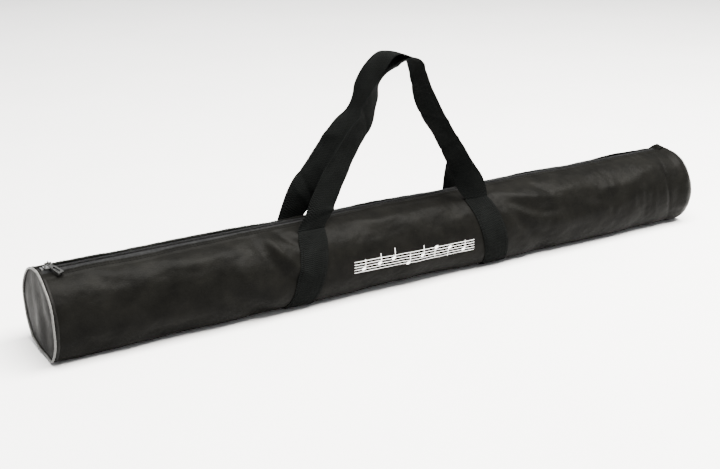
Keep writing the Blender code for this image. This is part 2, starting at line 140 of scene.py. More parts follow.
def fabric_reach(x, side):
    """Distance from the zip's middle to the folded edge of the fabric, front or rear."""
    if side < 0:
        wander = 0.0005 * np.sin(31.0 * x) + 0.0004 * np.sin(67.0 * x + 1.0)
        return 0.0058 + 0.0050 * smoothstep(-x, -0.02, 0.42) + wander
    return 0.0072 + 0.0005 * np.sin(27.0 * x + 2.0)


def fabric_edge_angle(x, side):
    y = zip_y(x) + side * fabric_reach(x, side)
    return np.degrees(np.arccos(-y / RADIUS))


# The skin of the bag

broad_dents = Waves(11, 18, 0.070, 0.300, 0.75)
small_dents = Waves(23, 26, 0.022, 0.070, 0.80)
crinkle = Waves(37, 30, 0.008, 0.022, 0.90)

# How high the random fields stand, in metres, and a factor on the heights in CREASES.
BROAD_DENT = 0.00085
SMALL_DENT = 0.00028
CRINKLE = 0.00008
CREASE_GAIN = 1.6

# The rear has the front's creases, mirrored and moved along the bag.
REAR_CREASE_SHIFT = 0.055
REAR_CREASE_TURN = 9.0

# About where the straps cross the underside, and how far to each side they lift the cloth.
UNDERSIDE_STRAPS = (-0.1735, 0.1355)
STRAP_REACH = 0.026

# The rise of the cloth beside the zip: everywhere, and behind the zip towards the right.
ZIP_RISE = 0.0004
REAR_ZIP_RISE = 0.0026

# Creases pressed into the fabric: start (x, angle), end (x, angle), width and depth in mm.
# A positive depth is a ridge and a negative one a valley.
CREASES = [
    # The slack fold beside the left strap, where the handle drags the fabric.
    (-0.230, 66, -0.176, -6, 13.0, -3.4),
    (-0.213, 60, -0.168, 2, 6.0, 1.8),
    (-0.270, 48, -0.205, -30, 12.0, 1.5),
    (-0.285, 20, -0.215, -44, 9.0, -1.4),
    (-0.196, 70, -0.160, 40, 7.0, -1.6),
    # Folds that spread from the foot of the right strap.
    (0.150, 52, 0.245, 22, 9.0, -2.0),
    (0.152, 40, 0.215, -14, 8.0, -1.8),
    (0.150, 60, 0.290, 52, 9.0, 1.3),
    (0.165, 30, 0.300, 4, 10.0, 1.2),
    (0.180, -6, 0.235, -40, 9.0, -1.2),
    (0.205, 68, 0.260, 40, 8.0, -1.2),
    (0.240, 26, 0.330, 44, 11.0, -1.1),
    # Between the straps the front is pulled nearly flat.
    (-0.100, 50, 0.060, 44, 16.0, -1.1),
    (-0.110, -34, 0.080, -30, 14.0, -0.9),
    (-0.090, 66, -0.020, 58, 8.0, 0.8),
    # Long shallow hollows towards the left end.
    (-0.445, 34, -0.330, 24, 16.0, -1.5),
    (-0.400, -18, -0.300, -26, 14.0, -1.2),
    (-0.360, 62, -0.250, 56, 9.0, 0.9),
    (-0.470, -6, -0.420, -30, 9.0, -1.0),
    (-0.440, 60, -0.395, 42, 8.0, -1.1),
    # Upright ripples before the right shoulder.
    (0.345, 54, 0.352, -30, 6.0, -0.35),
    (0.392, 30, 0.398, -10, 4.5, -0.35),
    (0.412, 44, 0.414, -34, 4.0, -0.35),
    (0.430, 36, 0.434, -30, 4.5, 0.35),
    (0.462, 70, 0.466, -38, 3.5, -0.70),
    (0.300, 44, 0.440, 58, 9.0, 1.0),
    (0.290, 34, 0.380, 20, 8.0, -0.9),
    (0.415, 20, 0.345, 6, 9.0, 0.7),
]


def crease_height(x, angle):
    """Sum of all creases, in metres. Each fades in and out along its length."""
    total = np.zeros(np.broadcast(x, angle).shape)
    s = RADIUS * np.radians(angle)
    for x0, a0, x1, a1, width, depth in CREASES:
        s0, s1 = RADIUS * radians(a0), RADIUS * radians(a1)
        dx, ds = x1 - x0, s1 - s0
        length = np.hypot(dx, ds)
        along = ((x - x0) * dx + (s - s0) * ds) / length
        bow = 0.10 * length * np.sin(np.clip(along / length, 0.0, 1.0) * pi)
        across = ((x - x0) * ds - (s - s0) * dx) / length - bow
        half = width / 1000.0
        fade = smoothstep(along, -0.25 * length, 0.30 * length)
        fade = fade * smoothstep(-along, -1.25 * length, -0.70 * length)
        total = total + CREASE_GAIN * depth / 1000.0 * fade * np.exp(-((across / half) ** 2))
    return total


def fullness(angle):
    """Behind the zip the right end is puffed out at its top."""
    return 0.0026 * np.exp(-(((angle - 112.0) / 28.0) ** 2))


def end_swell(angle):
    """Past the zip's end the right shoulder is rounder still."""
    return 0.0046 * np.exp(-(((angle - 86.0) / 46.0) ** 2))


def rear_slump(angle):
    """The left end has sunk in at its lower rear."""
    return 0.0065 * np.exp(-(((angle - 218.0) / 26.0) ** 2))


def base_radius(x, angle):
    """The sagging section before dents: round above, flattened where it lies."""
    down = -np.sin(np.radians(angle))
    over_strap = sum(np.exp(-(((x - middle) / STRAP_REACH) ** 6)) for middle in UNDERSIDE_STRAPS)
    floor = 0.0016 + 0.0004 * np.cos(9.0 * x) + 0.0008 * over_strap
    flat = (AXIS_HEIGHT - floor) / np.maximum(down, 1e-3)
    soft = 0.0035 - 0.0022 * smoothstep(-x, 0.40, 0.47)
    radius = -soft * np.log(np.exp(-RADIUS / soft) + np.exp(-np.minimum(flat, 1.0) / soft))
    shoulder = np.clip((x - 0.488) / (SKIN_RIGHT - 0.488), 0.0, 1.0)
    slump = rear_slump(angle) * smoothstep(-x, 0.40, 0.485)
    past_zip = smoothstep(x, 0.482, 0.494)
    full = fullness(angle) + (end_swell(angle) - fullness(angle)) * past_zip
    radius = radius + full * smoothstep(x, 0.22, 0.46)
    return radius - 0.0034 * shoulder ** 2.2 - 0.0006 * smoothstep(-x, 0.470, 0.488) - slump


def hem_height(inward):
    """The doubled hem beside the zip stands a little proud; inward is from its folded edge."""
    return 0.0007 * smoothstep(-inward, -0.0090, -0.0070)


def quiet(x, angle):
    """Share of the dents that stays: none at seams, end rims and the floor."""
    rims = smoothstep(HALF_LENGTH + 0.004 + 0.006 * np.sign(x) - np.abs(x), 0.0, 0.030)
    floor = 0.25 + 0.75 * smoothstep(angle, -72.0, -40.0) * smoothstep(-angle, -252.0, -220.0)
    return rims * floor


def skin_radius(x, angle):
    """Distance of the fabric's outside from the bag's axis."""
    x = np.asarray(x, float)
    angle = np.asarray(angle, float)
    s = RADIUS * np.radians(angle)
    keep = quiet(x, angle)
    near_zip = np.exp(-(((angle - 90.0) / 22.0) ** 2))
    dents = BROAD_DENT * broad_dents(x, s) + SMALL_DENT * small_dents(x, s)
    dents = dents * (1.0 - 0.55 * near_zip)
    dents = dents + CRINKLE * crinkle(x, s)
    rim = np.exp(-((HALF_LENGTH - np.abs(x)) / 0.022) ** 2)
    pucker = 0.00030 * np.sin(s / 0.0042 + 2.0 * np.sin(s / 0.021)) * rim
    gather = 0.00022 * np.sin(x / 0.0031 + 2.5 * np.sin(x / 0.017)) * near_zip
    mirrored = np.where(angle > 90.0, 180.0 - angle + REAR_CREASE_TURN, angle)
    shift = np.where(angle > 90.0, REAR_CREASE_SHIFT, 0.0)
    folds = crease_height(x - shift, mirrored)
    behind = smoothstep(angle - zip_angle(x), -3.0, 3.0)
    proud = REAR_ZIP_RISE * behind * smoothstep(x, 0.02, 0.36) + ZIP_RISE
    raised = proud * near_zip * (1.0 - smoothstep(x, 0.482, 0.502))
    return base_radius(x, angle) + keep * (dents + folds) + pucker + gather + raised


def around(x, angle, radius):
    turn = np.radians(angle)
    x = np.broadcast_to(x, np.broadcast(x, turn).shape)
    return np.stack([x, -radius * np.cos(turn), AXIS_HEIGHT + radius * np.sin(turn)], -1)


def skin_point(x, angle, lift=0.0):
    return around(x, angle, skin_radius(x, angle) + lift)


# Materials

class Nodes:
    """Short calls for building one material's nodes."""

    def __init__(self, name):
        self.material = bpy.data.materials.new(name)
        self.material.use_nodes = True
        self.tree = self.material.node_tree
        self.shader = self.tree.nodes["Principled BSDF"]
        self.shader.inputs["IOR"].default_value = 1.45

    def add(self, kind, **settings):
        node = self.tree.nodes.new(kind)
        for key, value in settings.items():
            setattr(node, key, value)
        return node

    def link(self, source, target):
        self.tree.links.new(source, target)

    def fill(self, socket, value):
        if isinstance(value, (int, float, tuple)):
            socket.default_value = value
        else:
            self.link(value, socket)

    def math(self, operation, first, second=0.0, third=None):
        node = self.add("ShaderNodeMath", operation=operation)
        self.fill(node.inputs[0], first)
        self.fill(node.inputs[1], second)
        if third is not None:
            self.fill(node.inputs[2], third)
        return node.outputs[0]

    def uv(self):
        return self.add("ShaderNodeUVMap", uv_map="cloth").outputs[0]

    def place(self):
        return self.add("ShaderNodeTexCoord").outputs["Object"]

    def split(self, vector):
        node = self.add("ShaderNodeSeparateXYZ")
        self.link(vector, node.inputs[0])
        return node.outputs

    def noise(self, vector, scale, detail=3.0, roughness=0.55):
        node = self.add("ShaderNodeTexNoise")
        self.link(vector, node.inputs["Vector"])
        node.inputs["Scale"].default_value = scale
        node.inputs["Detail"].default_value = detail
        node.inputs["Roughness"].default_value = roughness
        return node.outputs["Fac"]

    def ramp(self, value, low, high, dark, bright):
        node = self.add("ShaderNodeValToRGB")
        self.link(value, node.inputs[0])
        node.color_ramp.elements[0].position = low
        node.color_ramp.elements[0].color = (*dark, 1.0)
        node.color_ramp.elements[1].position = high
        node.color_ramp.elements[1].color = (*bright, 1.0)
        return node.outputs[0]

    def span(self, value, low, high):
        node = self.add("ShaderNodeMapRange")
        self.link(value, node.inputs["Value"])
        node.inputs["To Min"].default_value = low
        node.inputs["To Max"].default_value = high
        return node.outputs[0]

    def bump(self, height, distance, strength=1.0, normal=None):
        node = self.add("ShaderNodeBump")
        self.link(height, node.inputs["Height"])
        node.inputs["Distance"].default_value = distance
        node.inputs["Strength"].default_value = strength
        if normal is not None:
            self.link(normal, node.inputs["Normal"])
        return node.outputs[0]

    def weave(self, pitch):
        """Over-and-under height of a plain weave, from the cloth's own coordinates."""
        u, v, _ = self.split(self.uv())
        warp = self.math("SINE", self.math("MULTIPLY", u, 2.0 * pi / pitch))
        weft = self.math("SINE", self.math("MULTIPLY", v, 2.0 * pi / pitch))
        product = self.math("MULTIPLY", warp, weft)
        return self.math("MULTIPLY_ADD", product, 0.5, 0.5)

    def finish(self, colour, roughness, normal, sheen=0.0, sheen_tint=(1.0, 1.0, 1.0),
               specular=0.5):
        self.fill(self.shader.inputs["Base Color"], colour)
        self.fill(self.shader.inputs["Roughness"], roughness)
        self.link(normal, self.shader.inputs["Normal"])
        self.shader.inputs["Sheen Weight"].default_value = sheen
        self.shader.inputs["Sheen Roughness"].default_value = 0.45
        self.shader.inputs["Sheen Tint"].default_value = (*sheen_tint, 1.0)
        self.shader.inputs["Specular IOR Level"].default_value = specular
        return self.material


def nylon_material(name, dark, bright, sheen, specular):
    made = Nodes(name)
    uv = made.uv()
    cloud = made.noise(uv, 34.0, 5.0)
    threads = made.noise(uv, 1300.0, 2.0)
    mixed = made.math("ADD", made.math("MULTIPLY", cloud, 0.55),
                      made.math("MULTIPLY", threads, 0.45))
    colour = made.ramp(mixed, 0.34, 0.68, dark, bright)
    rough = made.span(made.noise(uv, 90.0, 3.0), 0.33, 0.46)
    crumple = made.bump(made.noise(uv, 85.0, 3.0, 0.5), 0.0012, 0.46)
    fine = made.bump(made.noise(uv, 420.0, 2.0, 0.5), 0.00018, 0.35, crumple)
    normal = made.bump(made.weave(0.00075), 0.00006, 0.45, fine)
    return made.finish(colour, rough, normal, sheen, (1.0, 0.94, 0.84), specular)


def webbing_material(name, dark, bright, sheen):
    """Ribbed webbing: cross ribs broken into a chevron, with a slightly fuzzy surface."""
    made = Nodes(name)
    uv = made.uv()
    u, v, _ = made.split(uv)
    chevron = made.math("PINGPONG", v, 0.0032)
    slant = made.math("MULTIPLY_ADD", chevron, 0.55, u)
    rib = made.math("SINE", made.math("MULTIPLY", slant, 2.0 * pi / 0.0023))
    height = made.math("MULTIPLY_ADD", rib, 0.5, 0.5)
    cord = made.math("SINE", made.math("MULTIPLY", v, 2.0 * pi / 0.0016))
    relief = made.math("MULTIPLY_ADD", cord, 0.22, height)
    fuzz = made.noise(uv, 1500.0, 3.0)
    wear = made.noise(uv, 45.0, 4.0)
    # The colour follows the rib relief: painted shade in the grooves between the ribs and cords,
    # plus random mottling from the wear noise.
    mixed = made.math("MULTIPLY_ADD", wear, 0.35, made.math("MULTIPLY", relief, 0.52))
    colour = made.ramp(mixed, 0.22, 0.72, dark, bright)
    rough = made.span(fuzz, 0.72, 0.95)
    soft = made.bump(wear, 0.0010, 0.30)
    grain = made.bump(fuzz, 0.00012, 0.45, soft)
    normal = made.bump(relief, 0.00050, 0.85, grain)
    return made.finish(colour, rough, normal, sheen, (0.95, 0.97, 0.94), 0.010)


def tape_material():
    made = Nodes("woven_zip_tape")
    uv = made.uv()
    herringbone = made.weave(0.0011)
    colour = made.ramp(made.noise(uv, 260.0, 4.0), 0.30, 0.72, (0.0035, 0.0036, 0.0040),
                       (0.0095, 0.0098, 0.0100))
    rough = made.span(made.noise(uv, 500.0), 0.70, 0.92)
    soft = made.bump(made.noise(uv, 240.0, 3.0), 0.0005, 0.4)
    normal = made.bump(herringbone, 0.00014, 0.7, soft)
    return made.finish(colour, rough, normal, 0.008, (1.0, 1.0, 1.0), 0.05)


def plain_material(name, dark, bright, rough_low, rough_high, scale, depth, specular=0.5,
                   metallic=0.0, sheen=0.0):
    """A material without cloth coordinates: mottled colour, varied gloss and a fine grain."""
    made = Nodes(name)
    place = made.place()
    colour = made.ramp(made.noise(place, scale, 4.0), 0.30, 0.70, dark, bright)
    rough = made.span(made.noise(place, scale * 2.3, 3.0), rough_low, rough_high)
    normal = made.bump(made.noise(place, scale * 5.0, 3.0), depth, 0.5)
    made.finish(colour, rough, normal, sheen, (1.0, 1.0, 1.0), specular)
    made.shader.inputs["Metallic"].default_value = metallic
    return made.material


def make_materials():
    return {
        "nylon": nylon_material("black_nylon", (0.0013, 0.0013, 0.0012),
                                (0.0040, 0.0039, 0.0034), 0.004, 0.015),
        "nylon_plain": plain_material("rolled_seam_nylon", (0.0014, 0.0014, 0.0013),
                                      (0.0038, 0.0037, 0.0033), 0.44, 0.64, 160.0, 0.0004,
                                      0.055, sheen=0.006),
        "end_nylon": nylon_material("end_panel_nylon", (0.0012, 0.0011, 0.0010),
                                    (0.0020, 0.0018, 0.0016), 0.002, 0.009),
        "webbing": webbing_material("black_webbing", (0.0002, 0.00027, 0.00026),
                                    (0.0048, 0.0053, 0.0051), 0.003),
        "tape": tape_material(),
        "coil": plain_material("zip_coil_nylon", (0.0015, 0.0015, 0.0017),
                               (0.0050, 0.0050, 0.0052), 0.26, 0.42, 300.0, 0.0001, 0.12),
        "thread": plain_material("black_thread", (0.0010, 0.0010, 0.0010),
                                 (0.0040, 0.0040, 0.0038), 0.60, 0.80, 900.0, 0.0001, 0.03),
        "piping": plain_material("grey_piping", (0.045, 0.045, 0.043), (0.090, 0.090, 0.087),
                                 0.34, 0.55, 420.0, 0.0003, 0.20, sheen=0.02),
        "binding": plain_material("black_binding", (0.0050, 0.0050, 0.0050),
                                  (0.0110, 0.0110, 0.0105), 0.75, 0.95, 900.0, 0.0003, 0.15,
                                  sheen=0.03),
        "print": plain_material("white_print", (0.80, 0.80, 0.79), (0.93, 0.93, 0.92),
                                0.42, 0.60, 700.0, 0.0001, 0.4),
        "metal": plain_material("nickel_plate", (0.030, 0.030, 0.029), (0.10, 0.10, 0.098),
                                0.16, 0.34, 700.0, 0.0001, 0.5, metallic=1.0),
        "floor": plain_material("pale_floor", (0.69, 0.69, 0.69), (0.72, 0.72, 0.72),
                                0.80, 0.90, 3.0, 0.0001, 0.2),
    }


# Mesh helpers

def make_mesh(name, points, faces, skin, uv=None, sharp=None):
    """A smooth-shaded mesh object; uv holds one (u, v) in metres per vertex."""
    mesh = bpy.data.meshes.new(name)
    mesh.from_pydata(np.asarray(points, float).reshape(-1, 3).tolist(), [], faces)
    mesh.materials.append(skin)
    mesh.shade_smooth()
    if sharp:
        mesh.set_sharp_from_angle(angle=radians(sharp))
    if uv is not None:
        layer = mesh.uv_layers.new(name="cloth")
        index = np.zeros(len(mesh.loops), np.int32)
        mesh.loops.foreach_get("vertex_index", index)
        values = np.asarray(uv, float).reshape(-1, 2)[index]
        layer.data.foreach_set("uv", values.ravel())
    made = bpy.data.objects.new(name, mesh)
    bpy.context.scene.collection.objects.link(made)
    return made


def grid_faces(rows, columns, close_rows=False, close_columns=False, first=0):
    faces = []
    for i in range(rows if close_rows else rows - 1):
        low, high = first + i * columns, first + (i + 1) % rows * columns
        for j in range(columns if close_columns else columns - 1):
            k = (j + 1) % columns
            faces.append((low + j, low + k, high + k, high + j))
    return faces


def slab(name, outer, inner, skin, uv, sharp=50):
    """A closed sheet between two grids of points: its faces, and a rim all round."""
    rows, columns = outer.shape[:2]
    count = rows * columns
    faces = grid_faces(rows, columns)
    faces += [tuple(count + k for k in reversed(face)) for face in faces]
    border = ([(0, j) for j in range(columns)] + [(i, columns - 1) for i in range(1, rows)]
              + [(rows - 1, j) for j in range(columns - 2, -1, -1)]
              + [(i, 0) for i in range(rows - 2, 0, -1)])
    loop = [i * columns + j for i, j in border]
    for a, b in zip(loop, loop[1:] + loop[:1]):
        faces.append((b, a, count + a, count + b))
    points = np.concatenate([outer.reshape(-1, 3), inner.reshape(-1, 3)])
    uv = np.asarray(uv, float).reshape(-1, 2)
    return make_mesh(name, points, faces, skin, np.concatenate([uv, uv]), sharp)


def tube(name, path, side, up, across, tall, skin, closed=False, sections=8):
    """A tube along a path; side and up are unit vectors there, across and tall its radii."""
    turns = 2.0 * pi * np.arange(sections) / sections
    rings = (path[:, None, :] + side[:, None, :] * (across * np.cos(turns))[None, :, None]
             + up[:, None, :] * (tall * np.sin(turns))[None, :, None])
    rows = len(path)
    faces = grid_faces(rows, sections, closed, True)
    if not closed:
        faces += [tuple(range(sections))[::-1],
                  tuple(range((rows - 1) * sections, rows * sections))]
    return make_mesh(name, rings, faces, skin)


def follow_flap(made, word):
    """Bake a piece's placement and work out how far each point would follow its flap: the
    underside stays, the top follows, the ends stay shut. The share is not applied, so nothing
    bends.
    """
    side = -1.0 if word == "front" else 1.0
    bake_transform(made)
    place = np.zeros(len(made.data.vertices) * 3)
    made.data.vertices.foreach_get("co", place)
    place = place.reshape(-1, 3)
    angle = np.degrees(np.arctan2(place[:, 2] - AXIS_HEIGHT, side * place[:, 1]))
    share = smoothstep(angle, BEND_START, BEND_END)
    share = share * (1.0 - smoothstep(np.abs(place[:, 0]), TAPER_START, TAPER_END))
    return made


def stitch_line(path, outward, stitch=0.0030, gap=0.0013):
    """Starts, ends and outward directions of the stitches along a closely spaced path."""
    steps = np.linalg.norm(np.diff(path, axis=0), axis=1)
    travelled = np.concatenate([[0.0], np.cumsum(steps)])
    begin = np.arange(gap, travelled[-1] - stitch, stitch + gap)

    def at(distance, values):
        return np.stack([np.interp(distance, travelled, values[:, k]) for k in range(3)], -1)

    return at(begin, path), at(begin + stitch, path), at(begin + stitch / 2, outward)


def stitches(name, lines, skin, size=0.00032):
    """Threads lying on the cloth, each a blunt six-sided capsule."""
    start, end, outward = (np.concatenate([line[k] for line in lines]) for k in range(3))
    run = end - start
    run = run / np.linalg.norm(run, axis=1, keepdims=True)
    side = np.cross(run, outward)
    side = side / np.linalg.norm(side, axis=1, keepdims=True)
    up = np.cross(side, run)
    rings = []
    for share, width in ((0.0, 0.3), (0.14, 1.0), (0.86, 1.0), (1.0, 0.3)):
        middle = start + (end - start) * share
        for k in range(6):
            turn = 2.0 * pi * k / 6
            rings.append(middle + size * width * (side * cos(turn) + up * sin(turn)))
    points = np.stack(rings, 1)
    faces = []
    for index in range(len(start)):
        first = 24 * index
        faces += grid_faces(4, 6, False, True, first)
        faces += [tuple(range(first + 5, first - 1, -1)), tuple(range(first + 18, first + 24))]
    return make_mesh(name, points, faces, skin)


# Body panels

def build_skin(word, skins):
    """Half of the tube, from the middle of the underside up to the zip."""
    side = -1 if word == "front" else 1
    xs = np.linspace(SKIN_LEFT, SKIN_RIGHT, 400)
    x = np.repeat(xs[:, None], 90, axis=1)
    top = fabric_edge_angle(xs, side)[:, None]
    bottom = -90.0 if side < 0 else 270.0
    angle = bottom + (top - bottom) * np.linspace(0.0, 1.0, 90)[None, :]
    radius = skin_radius(x, angle) + hem_height(RADIUS * np.radians(np.abs(top - angle)))
    outer = around(x, angle, radius)
    inner = around(x, angle, radius - CLOTH_THICKNESS)
    uv = np.stack([x, RADIUS * np.radians(angle)], -1)
    made = slab(f"{word}_skin", outer, inner, skins["nylon"], uv)
    follow_flap(made, word)
    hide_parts(f"{word}_flap_panel", "body_panel")

    lines = []
    for inward in HEM_STITCHES:
        xs = np.linspace(-0.478, 0.478, 1200)
        angle = fabric_edge_angle(xs, side) + side * np.degrees(inward / RADIUS)
        lift = hem_height(np.full(xs.shape, inward)) + 0.0001
        path = skin_point(xs, angle, lift)
        lines.append(stitch_line(path, around(0.0 * xs, angle, 1.0) - (0, 0, AXIS_HEIGHT)))
    made = stitches(f"{word}_hem_stitches", lines, skins["thread"])
    follow_flap(made, word)


def build_disc(word, side, skins):
    """The round end panel: slack, with upright creases, sewn in at its rim."""
    rows, columns = 26, 120
    share = np.linspace(0.02, 1.0, rows)[:, None]
    turn = np.linspace(-90.0, 270.0, columns, endpoint=False)[None, :]
    edge = end_outline(turn, RIM_RADIUS[word] + 0.0004, side)
    y = -share * edge * np.cos(np.radians(turn))
    z = AXIS_HEIGHT + share * edge * np.sin(np.radians(turn))
    y, z = np.broadcast_arrays(y, z)
    slack = 1.0 - share ** 4
    belly = 0.0016 * (1.0 - share ** 2)
    upright = 0.0006 * np.sin(y / 0.0062 + 1.4 * np.sin(z / 0.024) + 0.8)
    upright = upright * (0.35 + 0.65 * np.sin(z / 0.030 + 0.3) ** 2)
    cloudy = 0.00045 * small_dents(y * 0.8, z)
    out = DISC_X[word] + belly + slack * (upright + cloudy) + 0.0 * y
    points = np.stack([side * out, y, np.maximum(z, 0.0005)], -1)
    faces = grid_faces(rows, columns, False, True)
    faces.append(tuple(range(columns))[::-1])
    if side < 0:
        faces = [face[::-1] for face in faces]
    made = make_mesh(f"{word}_end_disc", points, faces, skins["end_nylon"],
                     np.stack([y, z], -1))
    wall = made.modifiers.new("wall", "SOLIDIFY")
    wall.thickness = DISC_THICKNESS
    wall.offset = -1.0
    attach(made, "root")
    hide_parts(f"end_disc_{word}")


def end_outline(turn, radius, side):
    """Distance of the flattened end outline from the axis, at each angle."""
    down = -np.sin(np.radians(turn))
    floor = (AXIS_HEIGHT - 0.0034) / np.maximum(down, 1e-3)
    soft = 0.0012
    edge = -soft * np.log(np.exp(-radius / soft) + np.exp(-np.minimum(floor, 1.0) / soft))
    return edge - rear_slump(turn % 360.0) if side < 0 else edge + end_swell(turn)


def build_piping(word, side, skins):
    """A covered cord round the end, slightly uneven where its cover puckers."""
    turn = np.linspace(-90.0, 270.0, 260, endpoint=False)
    radius = end_outline(turn, RIM_RADIUS[word] + 0.0004, side)
    radius = radius + 0.00022 * np.sin(np.radians(turn) * 23.0) * np.sin(np.radians(turn) * 5)
    x = side * (DISC_X[word] + 0.0008 + 0.0003 * np.sin(np.radians(turn) * 7.0 + 1.0))
    path = around(x, turn, radius)
    run = np.roll(path, -1, 0) - np.roll(path, 1, 0)
    run = run / np.linalg.norm(run, axis=1, keepdims=True)
    outward = np.tile([1.0, 0.0, 0.0], (len(path), 1))
    sideways = np.cross(run, outward)
    swell = PIPING_RADIUS * (1.0 + 0.05 * np.sin(np.radians(turn) * 61.0))
    turns = 2.0 * pi * np.arange(10) / 10
    rings = (path[:, None, :]
             + outward[:, None, :] * (swell[:, None] * np.cos(turns))[..., None]
             + sideways[:, None, :] * (swell[:, None] * np.sin(turns))[..., None])
    rings[..., 2] = np.maximum(rings[..., 2], 0.0003)
    made = make_mesh(f"{word}_piping_cord", rings, grid_faces(260, 10, True, True),
                     skins["piping"])
    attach(made, "root")
    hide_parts(f"piping_{word}")

    # The rolled seam allowance beside the cord.
    seam_x = side * (DISC_X[word] - 0.0026)
    inside = around(seam_x, turn, radius + 0.0002 * np.sin(turn / 4.0))
    made = tube(f"{word}_seam_roll", inside, sideways, outward, 0.0011, 0.0022,
                skins["nylon_plain"], True)
    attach(made, "root")


def build_binding(word, side, skins):
    """The binding over the raw seam, inside the bag."""
    turn = np.linspace(-90.0, 270.0, 121)
    x = side * np.linspace(*BINDING_X, 7)
    grid_x = np.repeat(x[None, :], len(turn), axis=0)
    radius = end_outline(turn, RIM_RADIUS[word] - 0.0024, side)[:, None]
    radius = radius + 0.0003 * np.sin(np.radians(turn) * 31.0)[:, None] + 0.0 * grid_x
    outer = around(grid_x, turn[:, None], radius)
    inner = around(grid_x, turn[:, None], radius - BINDING_THICKNESS)
    uv = np.stack([grid_x, RADIUS * np.radians(turn)[:, None] + 0.0 * grid_x], -1)
    if side > 0:
        outer, inner = outer[::-1], inner[::-1]
    made = slab(f"{word}_inner_binding", outer, inner, skins["binding"], uv)
    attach(made, "root")
    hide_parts(f"seam_binding_{word}")


# Webbing

STRAPS = {"left": {"low": -0.1785, "front": -0.1500, "rear": -0.1500},
          "right": {"low": 0.1330, "front": 0.1090, "rear": 0.1120}}
# Below this angle a strap runs straight round the bag.
LOWEST_STRAP_ANGLE = -49.46


def strap_grid(word, which, columns=17, rows=84):
    """x, angle, inner radius and cloth coordinates of one sewn strap."""
    place = STRAPS[which]
    climb = np.linspace(-90.0, FOOT_ANGLE, rows)[:, None]
    spread = np.linspace(-0.5, 0.5, columns)[None, :] * WEBBING_WIDTH
    share = (np.clip(climb, LOWEST_STRAP_ANGLE, STRAP_TOP_ANGLE) - LOWEST_STRAP_ANGLE)
    share = share / (STRAP_TOP_ANGLE - LOWEST_STRAP_ANGLE)
    middle = place["low"] + (place[word] - place["low"]) * share
    lean = np.arctan2(place[word] - place["low"],
                      RADIUS * radians(STRAP_TOP_ANGLE - LOWEST_STRAP_ANGLE))
    lean = lean * smoothstep(climb, -62.0, -40.0) * (1.0 - smoothstep(climb, 42.0, 60.0))
    x = middle + spread * np.cos(lean)
    climb = climb - np.degrees(spread * np.sin(lean) / RADIUS)
    angle = climb if word == "front" else 180.0 - climb
    skin = skin_radius(x, angle)
    bridged = 0.45 * skin + 0.55 * skin.mean(axis=1, keepdims=True)
    inner = np.maximum(skin, bridged) + 0.0003
    along = np.broadcast_to(RADIUS * np.radians(climb), x.shape)
    uv = np.stack([along, np.broadcast_to(spread, x.shape)], -1)
    return x, angle, inner, uv


def build_strap(word, which, skins):
    x, angle, inner, uv = strap_grid(word, which)
    selvedge = 1.0 - SELVEDGE_THINNING * np.abs(uv[..., 1] / (WEBBING_WIDTH / 2)) ** 10
    outer_grid = around(x, angle, inner + WEBBING_THICKNESS * selvedge)
    inner_grid = around(x, angle, inner)
    for grid in (outer_grid, inner_grid):
        grid[..., 2] = np.maximum(grid[..., 2], 0.0002)
    if word == "rear":
        outer_grid, inner_grid, uv = outer_grid[::-1], inner_grid[::-1], uv[::-1]
    made = slab(f"{word}_{which}_webbing", outer_grid, inner_grid, skins["webbing"], uv)
    follow_flap(made, word)
    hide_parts(f"{word}_strap_{which}", f"belly_strap_{which}")

    # A row of stitches near each selvedge, and a crossed box below the handle's foot.
    x, angle, inner, _ = strap_grid(word, which, 33, 240)
    top = inner + WEBBING_THICKNESS + 0.0001
    points = around(x, angle, top)
    outward = around(0.0 * x, angle, 1.0) - (0, 0, AXIS_HEIGHT)
    rows, columns = x.shape
    low, high = rows - 44, rows - 7
    lines = [stitch_line(points[:high, j], outward[:high, j]) for j in (3, columns - 4)]
    for i in (low, high):
        lines.append(stitch_line(points[i, 3:-3], outward[i, 3:-3]))
    steps = np.linspace(0.0, 1.0, 60)
    box_rows = np.rint(low + (high - low) * steps).astype(int)
    for first, last in ((3, columns - 4), (columns - 4, 3)):
        exact = first + (last - first) * steps
        floor_j = np.minimum(exact.astype(int), columns - 2)
        part = (exact - floor_j)[:, None]
        path = points[box_rows, floor_j] * (1 - part) + points[box_rows, floor_j + 1] * part
        lines.append(stitch_line(path, outward[box_rows, floor_j]))
    made = stitches(f"{word}_{which}_webbing_stitches", lines, skins["thread"])
    follow_flap(made, word)


# Handle routes: (x, height above the foot, twist in degrees), from the left foot to the right.
ROUTES = {
    "front": [(-0.1400, 0.000, 0), (-0.1335, 0.024, -2), (-0.1235, 0.041, -4),
              (-0.1068, 0.067, -8), (-0.0830, 0.097, -18), (-0.0625, 0.118, -27),
              (-0.0482, 0.143, -34), (-0.0415, 0.158, -42), (-0.0345, 0.1705, -60),
              (-0.0235, 0.1835, -82), (-0.0060, 0.1945, -90), (0.0070, 0.1965, -90),
              (0.0190, 0.191, -90), (0.0245, 0.177, -88), (0.0280, 0.159, -80),
              (0.0350, 0.138, -70),
              (0.0462, 0.114, -68), (0.0615, 0.090, -70), (0.0700, 0.075, -68),
              (0.0782, 0.059, -62), (0.0875, 0.042, -54), (0.0960, 0.025, -34),
              (0.1048, 0.009, -4), (0.1065, 0.000, 0)],
    "rear": [(-0.1470, 0.000, 0), (-0.1340, 0.027, 18), (-0.1180, 0.052, 60),
             (-0.0990, 0.084, 76), (-0.0805, 0.1115, 80), (-0.0640, 0.128, 86),
             (-0.0555, 0.147, 90), (-0.0500, 0.162, 84), (-0.0420, 0.177, 76),
             (-0.0330, 0.190, 80), (-0.0220, 0.200, 86), (-0.0100, 0.2025, 90),
             (0.0040, 0.1990, 90), (0.0180, 0.1925, 90), (0.0290, 0.181, 90),
             (0.0390, 0.161, 84), (0.0524, 0.135, 76), (0.0693, 0.105, 66),
             (0.0880, 0.077, 52), (0.1005, 0.0515, 34), (0.1090, 0.0235, 12),
             (0.1120, 0.000, 0)],
}
APEX_HEIGHT = {"front": 0.1965, "rear": 0.203}
